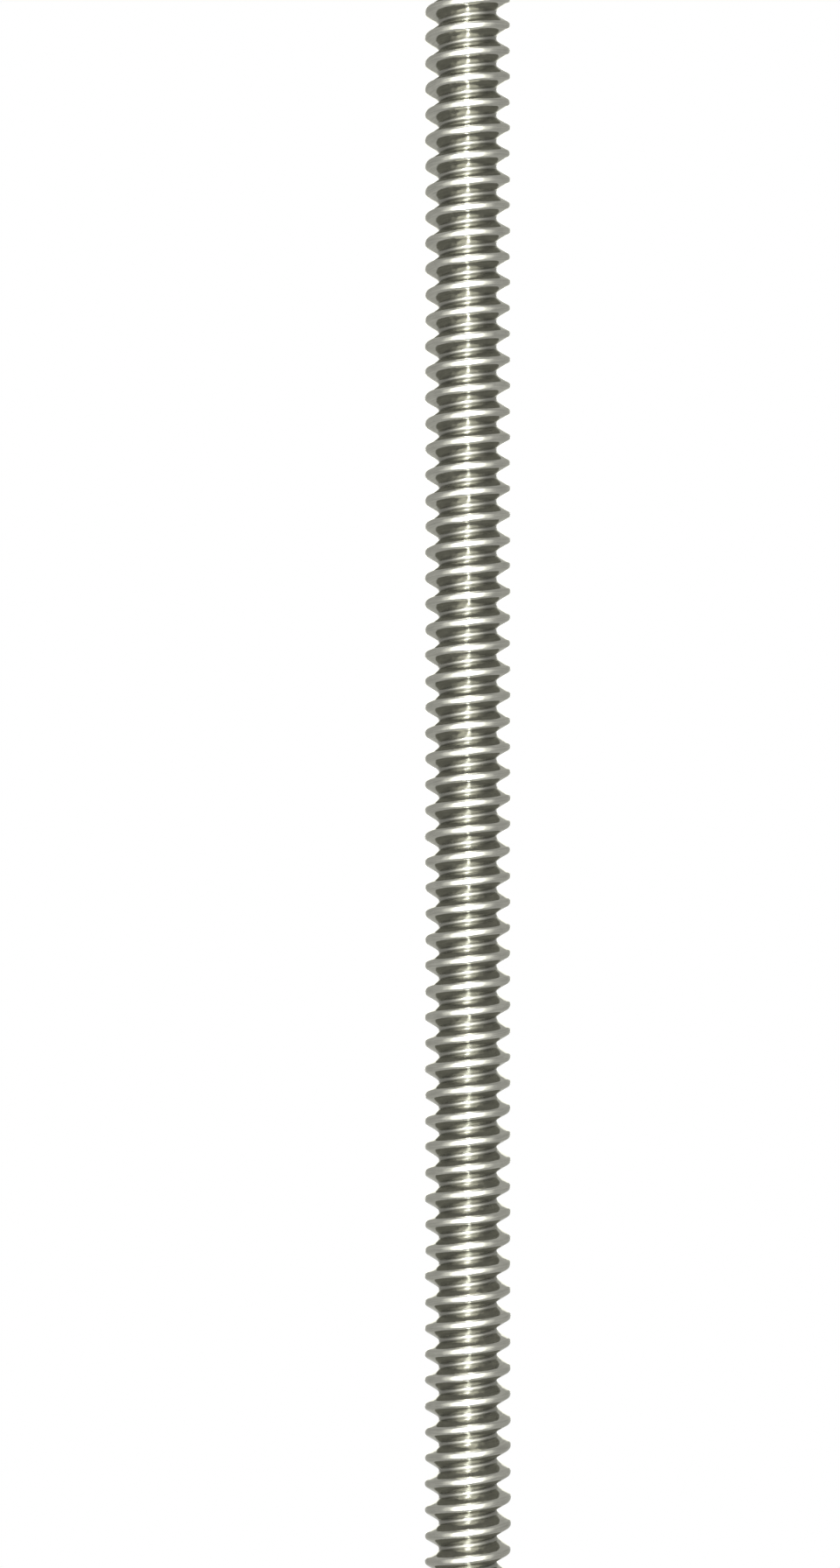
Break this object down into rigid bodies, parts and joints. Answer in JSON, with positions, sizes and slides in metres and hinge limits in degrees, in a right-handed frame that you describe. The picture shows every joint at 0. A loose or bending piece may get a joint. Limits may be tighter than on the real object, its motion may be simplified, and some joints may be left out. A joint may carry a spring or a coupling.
{
  "type": "threaded rod",
  "caption": "Straight steel rod with a coarse screw thread cut along its whole length and flat, chamfered ends.",
  "frame": {"origin": "centre of the lower end face, on the rod's axis", "axes": "+Z along the rod's axis, from the lower end to the upper end"},
  "size_m": [0.01, 0.01, 0.2],
  "materials": {
    "steel": "bare turned steel, slightly dull, with brighter crests"
  },
  "bodies": {
    "root": {"threaded_rod": "steel"}
  },
  "joints": []
}
